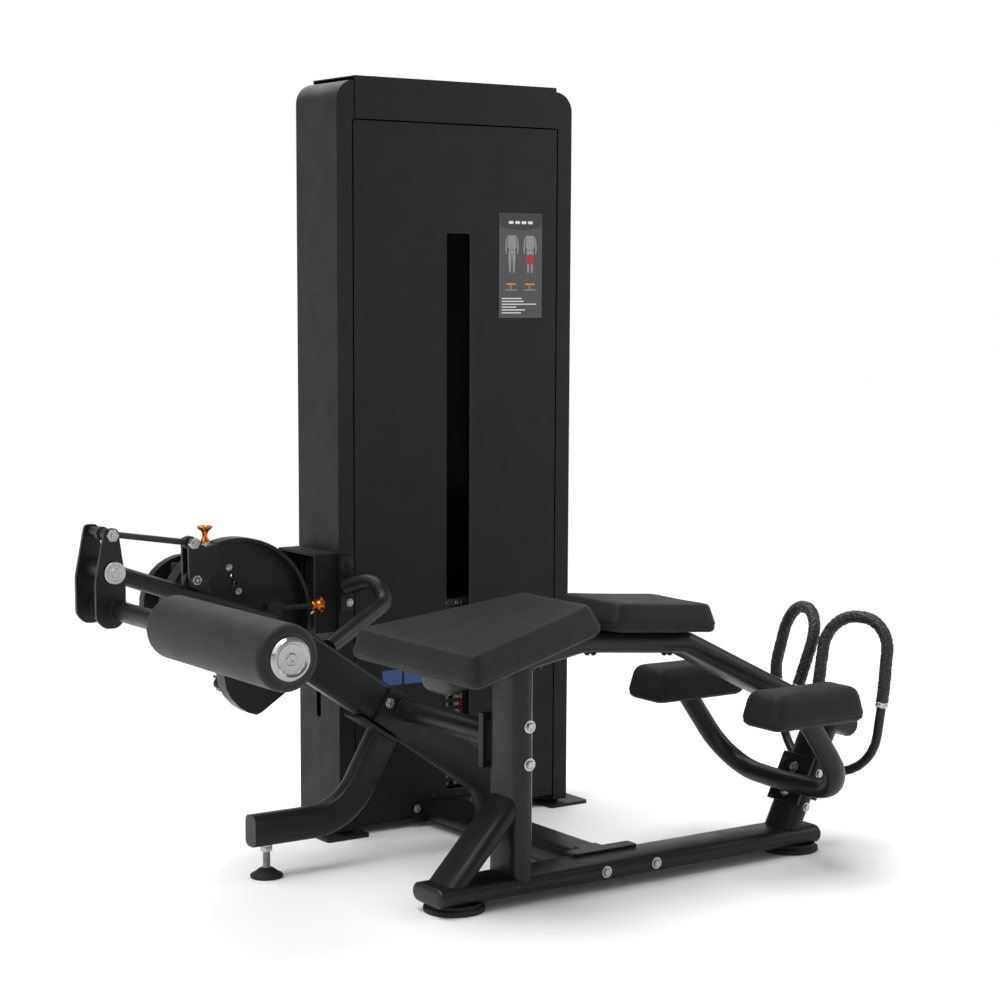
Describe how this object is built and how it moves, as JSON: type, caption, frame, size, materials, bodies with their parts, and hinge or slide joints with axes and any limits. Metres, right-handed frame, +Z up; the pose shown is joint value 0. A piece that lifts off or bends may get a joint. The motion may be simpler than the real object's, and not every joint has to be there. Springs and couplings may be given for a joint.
{
  "type": "lying leg curl",
  "caption": "Prone leg curl gym machine: weight stack tower, padded bench on a tube frame, elbow rests, handles and a roller arm that lifts the stack",
  "frame": {"origin": "middle of the footprint, on the floor", "axes": "+X towards the head end of the bench, +Y from the bench to the weight tower, +Z up"},
  "size_m": [1.707, 1.162, 1.8],
  "materials": {
    "frame_black": "satin black powder coat on welded tube",
    "panel_black": "fine matt black powder coat on sheet steel",
    "pad_vinyl": "black vinyl upholstery over firm foam",
    "roller_foam": "black vinyl skin on a foam roller",
    "grip_rubber": "dark textured rubber sleeve",
    "foot_rubber": "matt black moulded rubber",
    "zinc": "zinc plated steel",
    "chrome": "polished plate",
    "cast_iron": "dark coated iron and steel",
    "orange_knob": "orange anodised metal",
    "nylon": "black nylon",
    "placard_film": null,
    "clear_cover": "clear plastic cover strip"
  },
  "bodies": {
    "frame": {"base_tube": "frame_black", "main_beam": "frame_black", "upright": "frame_black", "diagonal_brace": "frame_black", "floor_cross_tube": "frame_black", "upper_cross_tube": "frame_black", "pivot_beam": "frame_black", "pivot_bearing_housing": "frame_black", "side_leg": "frame_black", "levelling_foot": "zinc", "base_foot_left": "foot_rubber", "base_foot_right": "foot_rubber", "head_post": "frame_black", "elbow_tube": "frame_black", "handle_tube_near": "frame_black", "handle_grip_near": "grip_rubber", "elbow_pad_near": "pad_vinyl", "handle_tube_far": "frame_black", "handle_grip_far": "grip_rubber", "elbow_pad_far": "pad_vinyl", "thigh_pad": "pad_vinyl", "chest_pad": "pad_vinyl", "side_shell_left": "panel_black", "side_shell_right": "panel_black", "header_cap": "panel_black", "front_panel": "panel_black", "rear_panel": "panel_black", "slot_window": "clear_cover", "placard": "placard_film", "tower_post_left": "frame_black", "tower_post_right": "frame_black", "top_crossbeam": "frame_black", "tower_base": "frame_black", "guide_rod_left": "chrome", "guide_rod_right": "chrome", "resting_plates": "cast_iron", "stack_buffer_left": "foot_rubber", "stack_buffer_right": "foot_rubber", "drive_cable": "nylon", "side_pulley_bracket": "frame_black", "drive_box": "frame_black", "entry_loop": "frame_black"},
    "cam": {"pivot_shaft": "cast_iron", "cable_drum": "cast_iron", "start_plate": "frame_black", "rear_lobe": "frame_black"},
    "arm": {"movement_arm": "frame_black"},
    "start_pin_body": {"start_pin": "orange_knob"},
    "adjuster": {"roller_frame": "frame_black"},
    "roller": {"roller_foam": "roller_foam", "roller_cap": "chrome"},
    "lever": {"adjuster_lever": "frame_black"},
    "pop_pin_body": {"pop_pin": "orange_knob"},
    "link": {"link_rod": "cast_iron"},
    "stack": {"stack_head": "cast_iron", "lifted_plates": "cast_iron"},
    "selector": {"selector_pin": "orange_knob"},
    "pulley_side": {"side_pulley": "nylon"},
    "pulley_top_left": {"top_pulley_left": "nylon"},
    "pulley_top_right": {"top_pulley_right": "nylon"}
  },
  "joints": [
    {"name": "knee_axis", "type": "hinge", "parent": "frame", "child": "cam", "pos_m": [-0.39248, 0.248, 0.516], "axis": [0, 1, 0], "range_deg": [0, 80]},
    {"name": "start_angle", "type": "hinge", "parent": "cam", "child": "arm", "pos_m": [-0.39248, 0.248, 0.516], "axis": [0, 1, 0], "range_deg": [0, 12]},
    {"name": "start_pin_pull", "type": "slide", "parent": "arm", "child": "start_pin_body", "axis": [1, 0, 0], "range_m": [0, 0.012], "stiffness_N_per_m": 250, "springref_m": -0.01},
    {"name": "roller_adjust", "type": "hinge", "parent": "arm", "child": "adjuster", "pos_m": [-0.79748, 0.248, 0.706], "axis": [0, 1, 0], "range_deg": [-20, 20]},
    {"name": "roller_spin", "type": "hinge", "parent": "adjuster", "child": "roller", "pos_m": [-0.78648, -0.309, 0.623], "axis": [0, 1, 0], "continuous": true},
    {"name": "lever_swing", "type": "hinge", "parent": "arm", "child": "lever", "pos_m": [-0.58848, 0.248, 0.673], "axis": [0, 1, 0], "range_deg": [-20, 20]},
    {"name": "link_swing", "type": "hinge", "parent": "lever", "child": "link", "pos_m": [-0.59348, 0.248, 0.754], "axis": [0, 1, 0], "range_deg": [-20, 20]},
    {"name": "pop_pin_pull", "type": "slide", "parent": "lever", "child": "pop_pin_body", "axis": [0, 0, 1], "range_m": [0, 0.01], "stiffness_N_per_m": 250, "springref_m": -0.01},
    {"name": "stack_lift", "type": "slide", "parent": "frame", "child": "stack", "axis": [0, 0, 1], "range_m": [0, 0.1377]},
    {"name": "selector_pull", "type": "slide", "parent": "stack", "child": "selector", "axis": [0, -1, 0], "range_m": [0, 0.09]},
    {"name": "side_pulley_spin", "type": "hinge", "parent": "frame", "child": "pulley_side", "pos_m": [-0.08578, 0.456, 0.64], "axis": [0, 1, 0], "range_deg": [0, 164]},
    {"name": "top_left_spin", "type": "hinge", "parent": "frame", "child": "pulley_top_left", "pos_m": [0.01082, 0.456, 1.638], "axis": [0, 1, 0], "range_deg": [-164, 0]},
    {"name": "top_right_spin", "type": "hinge", "parent": "frame", "child": "pulley_top_right", "pos_m": [0.14622, 0.456, 1.638], "axis": [0, 1, 0], "range_deg": [-164, 0]}
  ],
  "couplings": [
    {"joint": "stack_lift", "follows": "knee_axis", "m_per_rad": 0.0983},
    {"joint": "side_pulley_spin", "follows": "knee_axis", "ratio": 2.035},
    {"joint": "top_left_spin", "follows": "knee_axis", "ratio": -2.035},
    {"joint": "top_right_spin", "follows": "knee_axis", "ratio": -2.035},
    {"joint": "lever_swing", "follows": "roller_adjust", "ratio": 1},
    {"joint": "link_swing", "follows": "roller_adjust", "ratio": -1}
  ]
}
